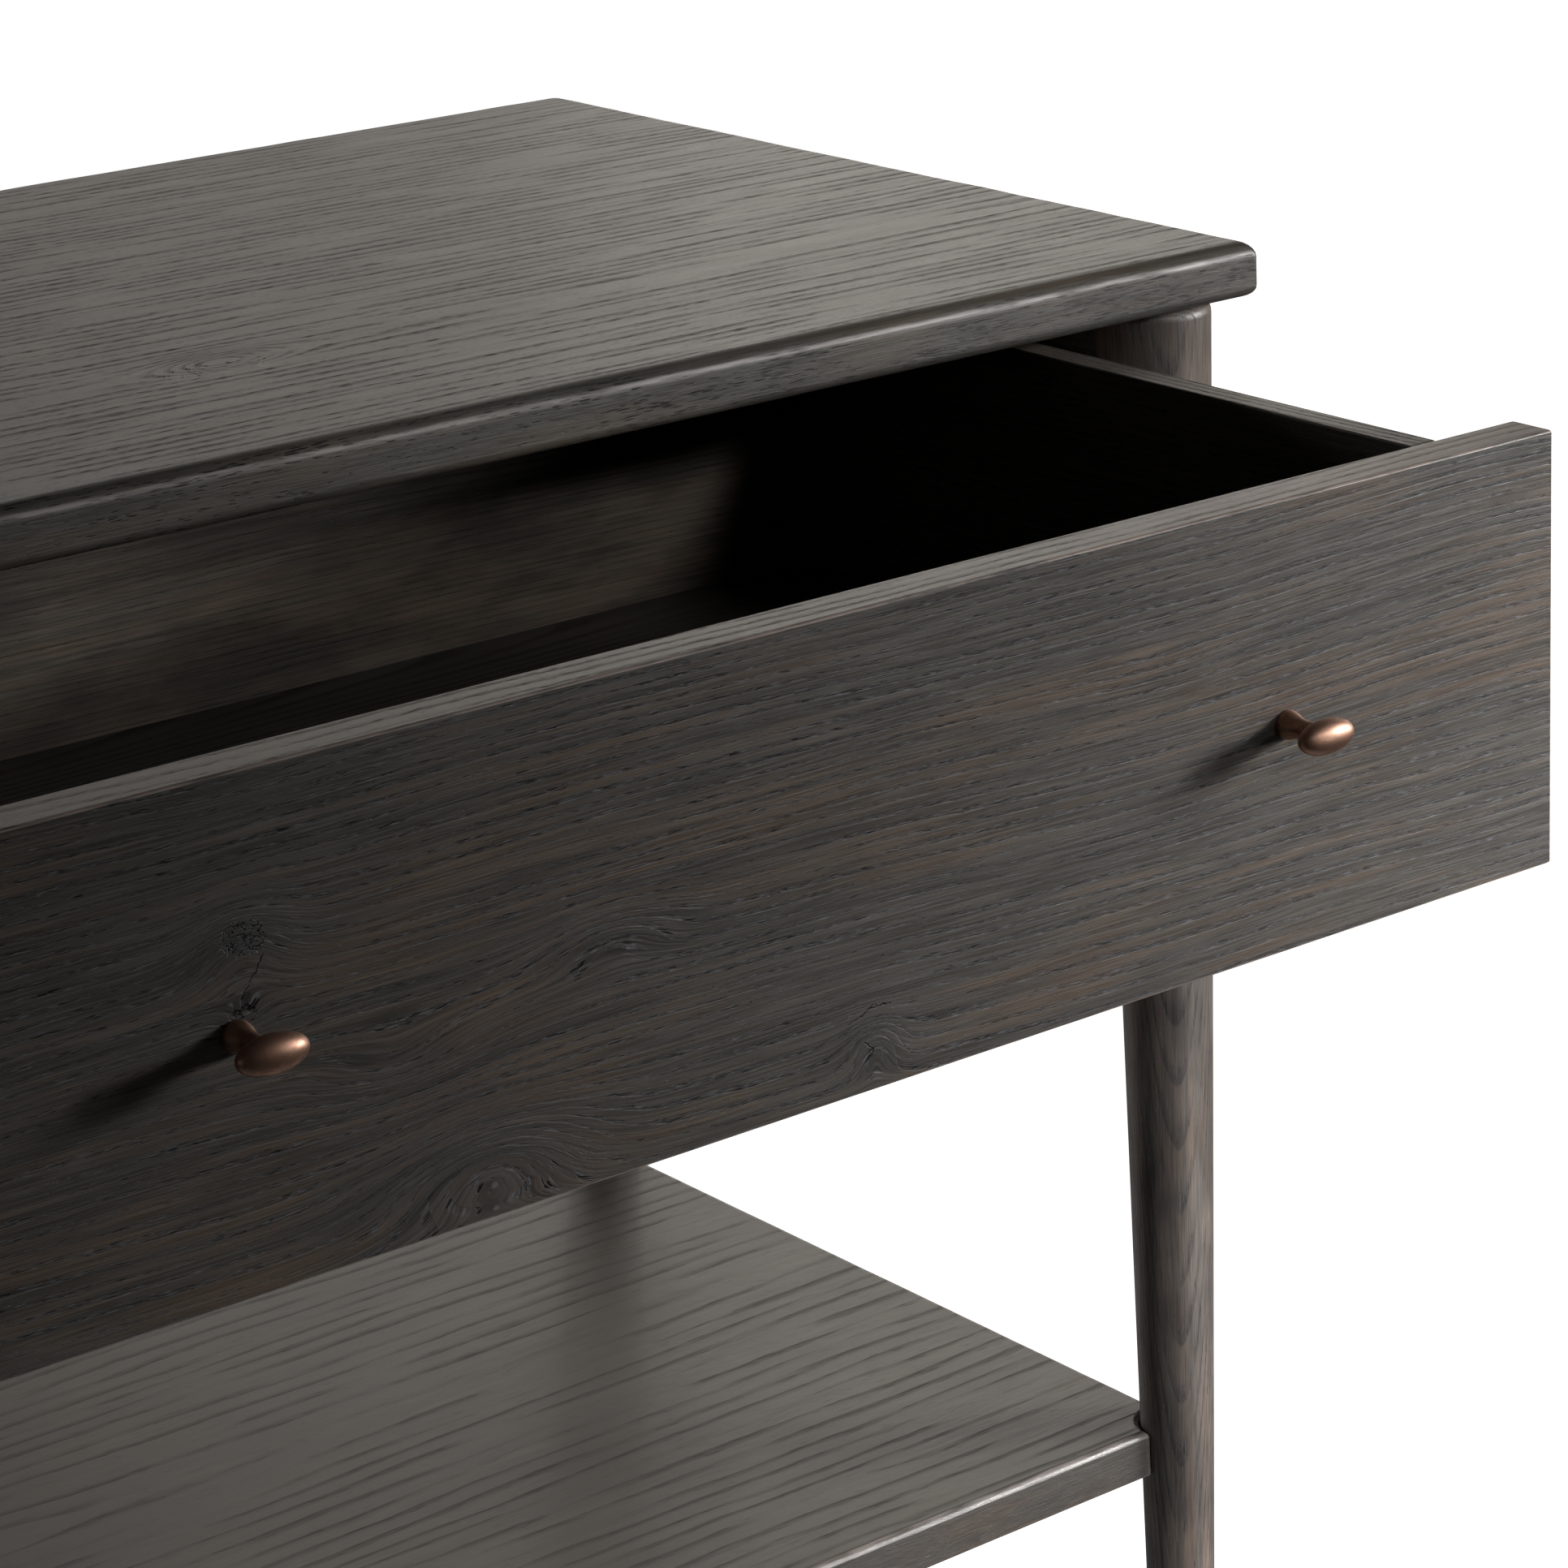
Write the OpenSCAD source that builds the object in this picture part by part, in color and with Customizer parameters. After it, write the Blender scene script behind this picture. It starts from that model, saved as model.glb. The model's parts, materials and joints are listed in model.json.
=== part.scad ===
// Console table with round tapered legs, one wide drawer on full-extension slides and a low shelf.
// The drawer is drawn part-way open. X runs along the front, the front faces -Y and Z is up.
// The origin lies on the floor, at the middle of the footprint of table and open drawer together.

/* [Table] */
// Width of the table top, left to right
top_w = 758; // [700:1:1100]
// Depth of the table top, front to back
top_d = 460; // [450:1:560]
// Height of the table
table_h = 762; // [700:1:900]
// Thickness of the table top
top_t = 21; // [18:1:26]
// Rounding of the upper edge of the top
top_edge_r = 6; // [3:0.5:8]
// Rounding of the lower edge of the top
low_edge_r = 1.5; // [1:0.5:3]
// Rounding of the corners of the top, seen from above
corner_r = 3; // [1:0.5:8]

/* [Legs] */
// Distance from the edges of the top to the leg's axis
leg_inset = 29; // [27:1:36]
// Leg diameter under the top
leg_top_d = 45; // [42:0.5:50]
// Leg diameter at the floor
leg_foot_d = 21.5; // [20:0.5:30]
// Rounding of the leg's upper shoulder
shoulder_r = 6; // [3:0.5:8]

/* [Shelf] */
// Height of the shelf's upper face
shelf_z = 273; // [200:1:350]
// Thickness of the shelf
shelf_t = 20; // [16:1:25]
// How far the shelf reaches past the leg axes at each end
shelf_past_x = 2.5; // [0:0.5:5]
// How far the shelf reaches past the leg axes at front and back
shelf_past_y = 0.5; // [0:0.5:5]

/* [Drawer] */
// Width of the gap between the drawer front and each front leg
front_reveal = 3; // [2:0.5:5]
// Height of the drawer front
front_h = 156; // [140:1:170]
// Thickness of the drawer front
front_t = 19; // [16:1:22]
// Gap between the drawer front and the table top
front_gap = 6; // [3:0.5:10]
// How far the drawer stands open
drawer_open = 225; // [0:5:350]
// Length of the drawer box behind its front
box_len = 355; // [352:1:360]
// How far the drawer front reaches past the box at each side
front_past_box = 37; // [35:0.5:60]
// Height of the drawer sides
side_h = 120; // [100:1:125]
// Thickness of the drawer sides and back
side_t = 12; // [10:0.5:15]
// Thickness of the drawer bottom
bottom_t = 6; // [4:0.5:8]

/* [Knobs] */
// Distance between the two knobs
knob_spacing = 399; // [250:1:500]
// Distance from the top of the drawer front down to the knobs
knob_drop = 76.5; // [50:0.5:90]
// Length of a knob's head, left to right
knob_w = 23.5; // [20:0.5:30]
// Height of a knob's head
knob_h = 12; // [10:0.5:16]
// Thickness of a knob's head, front to back
knob_t = 10; // [8:0.5:14]
// How far a knob stands out from the drawer front
knob_reach = 24; // [22:0.5:30]

/* [Slides] */
// Height of the slides
slide_h = 45; // [45:1:50]
// Thickness of the slides
slide_t = 12.7; // [12.7:0.1:13]
// Length of the slides, which is also their full travel
slide_len = 350; // [350:1:352]

/* [Hidden] */
$fn = 64;

// Colours
oak_top = [0.40, 0.38, 0.36];
oak_frame = [0.27, 0.25, 0.235];
oak_box = [0.20, 0.185, 0.17];
bronze = [0.42, 0.28, 0.20];
steel = [0.66, 0.67, 0.69];
black_steel = [0.10, 0.10, 0.11];
beech = [0.72, 0.58, 0.42];
nylon = [0.16, 0.15, 0.14];
felt = [0.30, 0.28, 0.26];

// Frame
case_top = table_h - top_t;
leg_x = top_w / 2 - leg_inset;
leg_y = top_d / 2 - leg_inset;
leg_top_r = leg_top_d / 2;
leg_foot_r = leg_foot_d / 2;
glide_t = 4;
glide_r = leg_foot_r - 1.75;
glide_pin_r = 1.5;
glide_pin_len = 16;
apron_t = 20;
apron_h = 162;
apron_z = case_top - apron_h;
tenon_t = 8;
tenon_shoulder = 15;
tenon_stop = 8.5;
bore_play = 0.05;
dowel_r = 4;
dowel_from = 6;
dowel_to = 36;
notch_play = 0.3;

// Drawer front and box, in the table's own depth with y = 0 at mid depth
front_z1 = case_top - front_gap;
front_z0 = front_z1 - front_h;
front_half_w = leg_x - leg_r(front_z1) - front_reveal;
front_shut_y = -leg_y - front_t / 2;
front_y = front_shut_y - drawer_open;
box_y0 = front_y + front_t;
box_y1 = box_y0 + box_len;
box_half_w = front_half_w - front_past_box;
box_z0 = front_z1 - side_h;
groove_depth = 6;
groove_z = box_z0 + 6;
back_z0 = groove_z + bottom_t;
pin_r = 3;
pin_reach = 10;
pin_seat = 12;
pin_side_seat = 8;

// Front rail under the drawer box
rail_t = 20;
rail_h = 28;
rail_z = front_z0 + 2;
rail_y = -leg_y + front_t / 2 + 3.5;
rail_tenon_t = 8;
rail_tenon_len = 10;
rail_tenon_back = 2;

// Slides: sizes across the slide are measured from the batten towards the drawer
slide_z = box_z0 + 57.5;
slide_x = box_half_w + slide_t;
slide_shut_y = front_shut_y + front_t + 3.5 + slide_len / 2;
slide_web = 1.0;
slide_flange = 1.2;
outer_reach = 10.5;
middle_at = 3.0;
middle_reach = 10.8;
inner_from = 6;
ball_r = 1.3;
ball_gap = 2.7;
middle_half_h = slide_h / 2 - slide_flange - ball_gap;
inner_half_h = middle_half_h - slide_flange - ball_gap;
cage_len = 150;
cage_sheet = 0.4;
cage_outer_at = 1.9;
cage_inner_at = 4.6;
cage_reach = 9.4;
cage_hole_r = 1.4;
ball_rows_n = 7;
ball_pitch = 20;
slide_screw_pitch = 140;
web_screw_r = 1.75;
web_screw_head_r = 3.2;
web_screw_head_h = 0.5;
web_screw_len = 10;

// Battens, brackets and their screws
batten_len = 356;
batten_h = 72;
batten_w = leg_x - apron_t / 2 - slide_x;
batten_screw_len = 50;
batten_screw_dz = 30;
batten_screw_pitch = 120;
bracket_leg = 18;
bracket_w = 16;
bracket_t = 2;
bracket_side_y = 110;
bracket_back_x = 150;
wood_screw_r = 2;
wood_screw_head_r = 4;
wood_screw_head_h = 2;
wood_screw_len = 13;

// Knobs
knob_x = knob_spacing / 2;
knob_z = front_z1 - knob_drop;
knob_base_r = 5;
knob_neck_r = 3.4;
knob_base_len = 5;
knob_bore_r = 2.05;
knob_bore_len = 14;
knob_screw_r = 2;
knob_screw_grip = 11;
knob_screw_head_r = 4;
knob_screw_head_h = 2.5;

// Bumpers behind the drawer front
bumper_r = 5;
bumper_t = 3.2;
bumper_x = 250;

// The origin sits under the middle of the footprint, from the knobs to the back edge of the top
frame_y = (knob_reach - front_y - top_d / 2) / 2;

// A stretch centred on c, reaching h to each side, and a stretch of a given length from a
function about(c, h) = [c - h, c + h];
function along(a, len) = [a, a + len];

// Leg radius at a height
function leg_r(z) = leg_foot_r + (leg_top_r - leg_foot_r) * z / case_top;

// ---------------------------------------------------------------- helpers

// Moves what is drawn in the table's own depth into the part's frame
module placed() translate([0, frame_y, 0]) children();

// Draws a right-hand piece on the right or, mirrored, on the left
module on_side(side) mirror([side < 0 ? 1 : 0, 0, 0]) children();

// Box between two corners
module span(x, y, z) {
    translate([x[0], y[0], z[0]]) cube([x[1] - x[0], y[1] - y[0], z[1] - z[0]]);
}

// Outline of a board's end with a rounded upper and lower edge
module edge_outline(w, t, r_up, r_low) {
    translate([-w / 2, r_low]) square([w, t - r_up - r_low]);
    translate([-w / 2 + r_up, t / 2]) square([w - 2 * r_up, t / 2]);
    translate([-w / 2 + r_low, 0]) square([w - 2 * r_low, t / 2]);
    for (s = [-1, 1]) {
        translate([s * (w / 2 - r_up), t - r_up]) circle(r_up);
        translate([s * (w / 2 - r_low), r_low]) circle(r_low);
    }
}

// Rectangle with rounded corners
module plan_outline(w, d, r) {
    square([w, d - 2 * r], center = true);
    square([w - 2 * r, d], center = true);
    for (sx = [-1, 1], sy = [-1, 1]) translate([sx * (w / 2 - r), sy * (d / 2 - r)]) circle(r);
}

// Board lying on z = 0 with eased edges and corners
module eased_board(w, d, t, r_up, r_low, r_plan) {
    intersection() {
        linear_extrude(t) plan_outline(w, d, r_plan);
        rotate([90, 0, 0]) linear_extrude(d, center = true) edge_outline(w, t, r_up, r_low);
        rotate([90, 0, 90]) linear_extrude(w, center = true) edge_outline(d, t, r_up, r_low);
    }
}

// Pan-head screw with a cross recess: head below z = 0, shank and point above it
module screw(r, len, head_r, head_h) {
    recess = head_h * 0.55;
    difference() {
        translate([0, 0, -head_h]) cylinder(r = head_r, h = head_h);
        for (turn = [0, 90])
            rotate([0, 0, turn])
                translate([-head_r * 0.5, -head_r * 0.12, -head_h - 1]) cube([head_r, head_r * 0.24, recess + 1]);
    }
    cylinder(r = r, h = len - r);
    translate([0, 0, len - r]) cylinder(r1 = r, r2 = r * 0.25, h = r);
}

// ---------------------------------------------------------------- joinery shared by its two sides

// The four leg tapers, for coping the boards that meet them
module leg_tapers() {
    for (sx = [-1, 1], sy = [-1, 1])
        translate([sx * leg_x, sy * leg_y, 0]) cylinder(h = case_top, r1 = leg_foot_r, r2 = leg_top_r);
}

// Tenons of the side aprons, one bar per side
module side_tenon_bar(side) {
    span(about(side * leg_x, tenon_t / 2), about(0, leg_y - tenon_stop),
        [apron_z + tenon_shoulder, case_top - tenon_shoulder]);
}

// Tenons of the back apron
module back_tenon_bar() {
    span(about(0, leg_x - tenon_stop), about(leg_y, tenon_t / 2),
        [apron_z + tenon_shoulder, case_top - tenon_shoulder]);
}

// Tenons of the front rail, which enter the side aprons
module rail_tenon_bar() {
    span(about(0, leg_x - apron_t / 2 + rail_tenon_len),
        along(rail_y + rail_t - rail_tenon_back - rail_tenon_t, rail_tenon_t),
        [rail_z + 4, rail_z + rail_h - 4]);
}

// Dowels that pin the shelf's corners to the legs
module shelf_pins(r, from, to) {
    for (sx = [-1, 1], sy = [-1, 1])
        translate([sx * leg_x, sy * leg_y, shelf_z - shelf_t / 2])
            rotate([0, 90, atan2(-sy, -sx)]) translate([0, 0, from]) cylinder(r = r, h = to - from);
}

// Where the drawer's dowels go: three at the front of each side and two at its back
module drawer_pins(r) {
    for (side = [-1, 1]) {
        for (z = [0.25, 0.5, 0.8])
            translate([side * (box_half_w - side_t / 2), box_y0 - pin_reach, box_z0 + side_h * z])
                rotate([-90, 0, 0]) cylinder(r = r, h = pin_reach + pin_seat);
        for (z = [0.3, 0.8])
            translate([side * (box_half_w - side_t - pin_seat), box_y1 - side_t / 2, box_z0 + side_h * z])
                rotate([0, side * 90, 0]) cylinder(r = r, h = pin_seat + pin_side_seat);
    }
}

// Where the bracket screws go, as pairs: one up into the top and one into the apron
module at_brackets() {
    for (side = [-1, 1], y = [-1, 1])
        translate([side * (leg_x - apron_t / 2), y * bracket_side_y, case_top])
            rotate([0, 0, side > 0 ? 0 : 180]) children();
    for (x = [-1, 1])
        translate([x * bracket_back_x, leg_y - apron_t / 2, case_top]) rotate([0, 0, 90]) children();
}

module bracket_screw_pair(r, len, head_r, head_h) {
    translate([-bracket_leg * 0.6, 0, -bracket_t]) screw(r, len + bracket_t, head_r, head_h);
    translate([-bracket_t, 0, -bracket_leg * 0.6])
        rotate([0, 90, 0]) screw(r, len + bracket_t, head_r, head_h);
}

module bracket_screw_holes(r, len) {
    translate([-bracket_leg * 0.6, 0, -bracket_t - 1]) cylinder(r = r, h = len + bracket_t + 1);
    translate([-bracket_t - 1, 0, -bracket_leg * 0.6])
        rotate([0, 90, 0]) cylinder(r = r, h = len + bracket_t + 1);
}

// Where the screws go that hold the right-hand batten to its apron
module at_batten_screws() {
    for (i = [-1, 0, 1])
        translate([slide_x, i * batten_screw_pitch, slide_z + (i == 0 ? -1 : 1) * batten_screw_dz])
            rotate([0, 90, 0]) children();
}

// Where the screws go in one member of the right-hand slide
module at_slide_screws(y_mid) {
    for (i = [-1, 0, 1]) translate([0, y_mid + i * slide_screw_pitch, slide_z]) children();
}

// Where the knobs' axes leave the drawer front
module at_knob(side) translate([side * knob_x, front_y, knob_z]) rotate([90, 0, 0]) children();

// ---------------------------------------------------------------- table frame

module table_top() placed() color(oak_top)
    difference() {
        translate([0, 0, case_top]) eased_board(top_w, top_d, top_t, top_edge_r, low_edge_r, corner_r);
        at_brackets() bracket_screw_holes(wood_screw_r + bore_play, wood_screw_len + 1);
    }

module leg(sx, sy) placed() color(oak_frame)
    difference() {
        translate([sx * leg_x, sy * leg_y, 0]) leg_blank();
        side_tenon_bar(sx);
        if (sy > 0) back_tenon_bar();
        shelf_pins(dowel_r + bore_play, dowel_from - 1, dowel_to);
    }

// Turned leg: one straight taper, a rounded shoulder under the top and a hole for the glide's pin
module leg_blank() {
    shoulder_z = case_top - shoulder_r;
    r_here = leg_r(shoulder_z);
    difference() {
        rotate_extrude() {
            polygon([[0, glide_t], [leg_r(glide_t), glide_t], [r_here, shoulder_z], [0, shoulder_z]]);
            translate([0, shoulder_z]) square([r_here - shoulder_r, shoulder_r]);
            translate([r_here - shoulder_r, shoulder_z])
                intersection() {
                    circle(shoulder_r);
                    square(shoulder_r);
                }
        }
        cylinder(r = r_here, h = glide_t);
        cylinder(r = glide_pin_r + bore_play, h = glide_t + glide_pin_len + 1);
    }
}

module shelf() placed() color(oak_top)
    difference() {
        translate([0, 0, shelf_z - shelf_t])
            eased_board(2 * (leg_x + shelf_past_x), 2 * (leg_y + shelf_past_y), shelf_t, 2, 1, 1);
        for (sx = [-1, 1], sy = [-1, 1])
            translate([sx * leg_x, sy * leg_y, shelf_z - shelf_t - 1])
                cylinder(r = leg_r(shelf_z) + notch_play, h = shelf_t + 2);
        shelf_pins(dowel_r + bore_play, dowel_from, dowel_to + 1);
    }

module shelf_dowels() placed() color(beech) shelf_pins(dowel_r, dowel_from, dowel_to);

module side_apron(side) placed() color(oak_frame)
    difference() {
        union() {
            difference() {
                span(about(side * leg_x, apron_t / 2), about(0, leg_y), [apron_z, case_top]);
                leg_tapers();
            }
            side_tenon_bar(side);
        }
        rail_tenon_bar();
        at_brackets() bracket_screw_holes(wood_screw_r + bore_play, wood_screw_len + 1);
        on_side(side) at_batten_screws() cylinder(r = wood_screw_r + bore_play, h = batten_screw_len + 1);
    }

module back_apron() placed() color(oak_frame)
    difference() {
        union() {
            difference() {
                span(about(0, leg_x), about(leg_y, apron_t / 2), [apron_z, case_top]);
                leg_tapers();
            }
            back_tenon_bar();
        }
        at_brackets() bracket_screw_holes(wood_screw_r + bore_play, wood_screw_len + 1);
    }

module front_rail() placed() color(oak_frame) {
    difference() {
        span(about(0, leg_x - apron_t / 2), along(rail_y, rail_t), along(rail_z, rail_h));
        leg_tapers();
    }
    rail_tenon_bar();
}

module runner_batten(side) placed() color(beech) on_side(side)
    difference() {
        span(along(slide_x, batten_w), about(0, batten_len / 2), about(slide_z, batten_h / 2));
        at_batten_screws() {
            translate([0, 0, -1]) cylinder(r = wood_screw_r + bore_play, h = batten_w + 2);
            translate([0, 0, -1]) cylinder(r = wood_screw_head_r + 0.2, h = wood_screw_head_h + 1);
        }
        translate([slide_x - 1, 0, 0]) at_slide_screws(slide_shut_y)
            rotate([0, 90, 0]) cylinder(r = web_screw_r + bore_play, h = web_screw_len + 2);
    }

module batten_screws() placed() color(steel)
    for (side = [-1, 1]) on_side(side) at_batten_screws()
        translate([0, 0, wood_screw_head_h])
            screw(wood_screw_r, batten_screw_len - wood_screw_head_h, wood_screw_head_r, wood_screw_head_h);

module top_brackets() placed() color(black_steel)
    at_brackets() difference() {
        union() {
            span([-bracket_leg, 0], about(0, bracket_w / 2), [-bracket_t, 0]);
            span([-bracket_t, 0], about(0, bracket_w / 2), [-bracket_leg, 0]);
        }
        bracket_screw_holes(wood_screw_r + bore_play, 1);
    }

module bracket_screws() placed() color(steel)
    at_brackets() bracket_screw_pair(wood_screw_r, wood_screw_len, wood_screw_head_r, wood_screw_head_h);

// Nail-on glides: a rounded disc under each leg and its pin
module foot_glides() placed() color(nylon)
    for (sx = [-1, 1], sy = [-1, 1]) translate([sx * leg_x, sy * leg_y, 0]) {
        rotate_extrude() {
            translate([0, 1]) square([glide_r, glide_t - 1]);
            square([glide_r - 1, glide_t]);
            translate([glide_r - 1, 1]) circle(1);
        }
        cylinder(r = glide_pin_r, h = glide_t + glide_pin_len);
    }

// ---------------------------------------------------------------- slides

// C section of sheet steel, front to back: web at web_x, flanges as far as lip_x
module channel(web_x, lip_x, half_h, y_mid) {
    inward = sign(lip_x - web_x);
    y = about(y_mid, slide_len / 2);
    web_x2 = web_x + inward * slide_web;
    span([min(web_x, web_x2), max(web_x, web_x2)], y, about(slide_z, half_h));
    for (s = [-1, 1]) {
        z = slide_z + s * (half_h - slide_flange / 2);
        span([min(web_x, lip_x), max(web_x, lip_x)], y, about(z, slide_flange / 2));
    }
}

module slide_outer(side) placed() color(steel) on_side(side)
    difference() {
        channel(slide_x, slide_x - outer_reach, slide_h / 2, slide_shut_y);
        translate([slide_x - slide_web - 1, 0, 0]) at_slide_screws(slide_shut_y)
            rotate([0, 90, 0]) cylinder(r = web_screw_r + bore_play, h = slide_web + 2);
    }

module slide_middle(side) placed() color(steel) on_side(side)
    channel(slide_x - middle_at, slide_x - middle_reach, middle_half_h, slide_shut_y - drawer_open / 2);

module slide_inner(side) placed() color(steel) on_side(side)
    difference() {
        channel(box_half_w, slide_x - inner_from, inner_half_h, slide_shut_y - drawer_open);
        translate([box_half_w - 1, 0, 0]) at_slide_screws(slide_shut_y - drawer_open)
            rotate([0, 90, 0]) cylinder(r = web_screw_r + bore_play, h = slide_web + 2);
    }

// Screws from a slide's web, with thin heads: outwards into a batten
module slide_screws_case() placed() color(steel)
    for (side = [-1, 1]) on_side(side)
        translate([slide_x - slide_web, 0, 0]) at_slide_screws(slide_shut_y)
            rotate([0, 90, 0]) screw(web_screw_r, web_screw_len, web_screw_head_r, web_screw_head_h);

// Screws from a slide's web, with thin heads: inwards into a drawer side
module slide_screws_drawer() placed() color(steel)
    for (side = [-1, 1]) on_side(side)
        translate([box_half_w + slide_web, 0, 0]) at_slide_screws(slide_shut_y - drawer_open)
            rotate([0, -90, 0]) screw(web_screw_r, web_screw_len, web_screw_head_r, web_screw_head_h);

// Height of a ball row above the slide's middle, between one flange and the next
function row_z(outside_half_h) = outside_half_h - slide_flange - ball_gap / 2;

// Strip cage that holds an upper and a lower row of balls
module cage(at, outside_half_h, y_mid) {
    y = about(y_mid, cage_len / 2);
    z = row_z(outside_half_h);
    difference() {
        union() {
            span([slide_x - at - cage_sheet, slide_x - at], y, about(slide_z, z + cage_sheet / 2));
            for (s = [-1, 1])
                span([slide_x - cage_reach, slide_x - at], y, about(slide_z + s * z, cage_sheet / 2));
        }
        at_balls(at, outside_half_h, y_mid) cylinder(r = cage_hole_r, h = 2, center = true);
    }
}

module at_balls(at, outside_half_h, y_mid) {
    for (s = [-1, 1], i = [0 : ball_rows_n - 1])
        translate([slide_x - (at + cage_reach) / 2 - 0.6,
            y_mid + (i - (ball_rows_n - 1) / 2) * ball_pitch,
            slide_z + s * row_z(outside_half_h)]) children();
}

// A cage travels at the mean of the speeds of the two members that it runs between
module ball_cage_outer(side) placed() color(black_steel) on_side(side)
    cage(cage_outer_at, slide_h / 2, slide_shut_y - drawer_open / 4);

module balls_outer(side) placed() color(steel) on_side(side)
    at_balls(cage_outer_at, slide_h / 2, slide_shut_y - drawer_open / 4) sphere(ball_r, $fn = 24);

module ball_cage_inner(side) placed() color(black_steel) on_side(side)
    cage(cage_inner_at, middle_half_h, slide_shut_y - drawer_open * 3 / 4);

module balls_inner(side) placed() color(steel) on_side(side)
    at_balls(cage_inner_at, middle_half_h, slide_shut_y - drawer_open * 3 / 4) sphere(ball_r, $fn = 24);

// ---------------------------------------------------------------- drawer

module bottom_panel(play) {
    span(about(0, box_half_w - side_t + groove_depth - play), [box_y0 - groove_depth + play, box_y1],
        along(groove_z, bottom_t));
}

module drawer_front() placed() color(oak_top)
    difference() {
        translate([0, front_y + front_t / 2, front_z0])
            eased_board(2 * front_half_w, front_t, front_h, 1, 1, 1);
        bottom_panel(0);
        drawer_pins(pin_r + bore_play);
        for (side = [-1, 1])
            at_knob(side) translate([0, 0, -front_t - 1]) cylinder(r = knob_bore_r + 0.2, h = front_t + 2);
    }

module drawer_side(side) placed() color(oak_box)
    difference() {
        span(about(side * (box_half_w - side_t / 2), side_t / 2), [box_y0, box_y1], [box_z0, front_z1]);
        bottom_panel(0);
        drawer_pins(pin_r + bore_play);
        on_side(side) translate([box_half_w + 1, 0, 0]) at_slide_screws(slide_shut_y - drawer_open)
            rotate([0, -90, 0]) cylinder(r = web_screw_r + bore_play, h = web_screw_len + 1);
    }

module drawer_back() placed() color(oak_box)
    difference() {
        span(about(0, box_half_w - side_t), [box_y1 - side_t, box_y1], [back_z0, front_z1 - 6]);
        drawer_pins(pin_r + bore_play);
        at_bottom_screws() cylinder(r = web_screw_r + bore_play, h = wood_screw_len + bottom_t + 1);
    }

module drawer_bottom() placed() color(oak_box)
    difference() {
        bottom_panel(0.5);
        at_bottom_screws() translate([0, 0, -1]) cylinder(r = web_screw_r + bore_play, h = bottom_t + 2);
    }

module at_bottom_screws() {
    for (i = [-1, 0, 1]) translate([i * box_half_w * 0.7, box_y1 - side_t / 2, groove_z]) children();
}

module bottom_screws() placed() color(steel)
    at_bottom_screws() screw(web_screw_r, wood_screw_len + bottom_t, web_screw_head_r, wood_screw_head_h);

module drawer_dowels() placed() color(beech) drawer_pins(pin_r);

module drawer_bumpers() placed() color(felt)
    for (side = [-1, 1])
        translate([side * bumper_x, box_y0, rail_z + rail_h / 2])
            rotate([-90, 0, 0]) cylinder(r = bumper_r, h = bumper_t);

// ---------------------------------------------------------------- knobs

// Flared base, waist and an oval head that lies along the drawer front
module knob(side) placed() color(bronze)
    at_knob(side) difference() {
        union() {
            rotate_extrude()
                polygon([[0, 0], [knob_base_r, 0], [knob_base_r, 1.2], [knob_base_r - 0.6, knob_base_len * 0.8],
                    [knob_neck_r, knob_base_len + 1.5], [knob_neck_r, knob_base_len + 4],
                    [knob_neck_r + 1, knob_reach - knob_t / 2], [0, knob_reach - knob_t / 2]]);
            translate([0, 0, knob_reach - knob_t / 2])
                scale([knob_w / knob_t, knob_h / knob_t, 1]) sphere(d = knob_t, $fn = 40);
        }
        translate([0, 0, -1]) cylinder(r = knob_bore_r, h = knob_bore_len + 1);
    }

module knob_screws() placed() color(steel)
    for (side = [-1, 1])
        at_knob(side) translate([0, 0, -front_t])
            screw(knob_screw_r, front_t + knob_screw_grip, knob_screw_head_r, knob_screw_head_h);

// ---------------------------------------------------------------- what is drawn

table_top();
leg(-1, -1);  // leg_front_left
leg(1, -1);  // leg_front_right
leg(-1, 1);  // leg_rear_left
leg(1, 1);  // leg_rear_right
shelf();
side_apron(-1);  // side_apron_left
side_apron(1);  // side_apron_right
back_apron();
front_rail();
runner_batten(-1);  // runner_batten_left
runner_batten(1);  // runner_batten_right
top_brackets();
bracket_screws();
batten_screws();
shelf_dowels();
foot_glides();
slide_outer(-1);  // slide_outer_left
slide_outer(1);  // slide_outer_right
slide_screws_case();
slide_middle(-1);  // slide_middle_left
slide_middle(1);  // slide_middle_right
ball_cage_outer(-1);  // ball_cage_outer_left
ball_cage_outer(1);  // ball_cage_outer_right
balls_outer(-1);  // balls_outer_left
balls_outer(1);  // balls_outer_right
ball_cage_inner(-1);  // ball_cage_inner_left
ball_cage_inner(1);  // ball_cage_inner_right
balls_inner(-1);  // balls_inner_left
balls_inner(1);  // balls_inner_right
slide_inner(-1);  // slide_inner_left
slide_inner(1);  // slide_inner_right
slide_screws_drawer();
drawer_front();
drawer_side(-1);  // drawer_side_left
drawer_side(1);  // drawer_side_right
drawer_back();
drawer_bottom();
drawer_dowels();
bottom_screws();
drawer_bumpers();
knob(-1);  // knob_left
knob(1);  // knob_right
knob_screws();
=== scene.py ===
"""Looks of the console table: dark wire-brushed oak, bronze knobs and steel slides, in a white studio."""

import json
import math
from types import SimpleNamespace

import bmesh
import bpy
from mathutils import Matrix, Vector, noise


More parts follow.
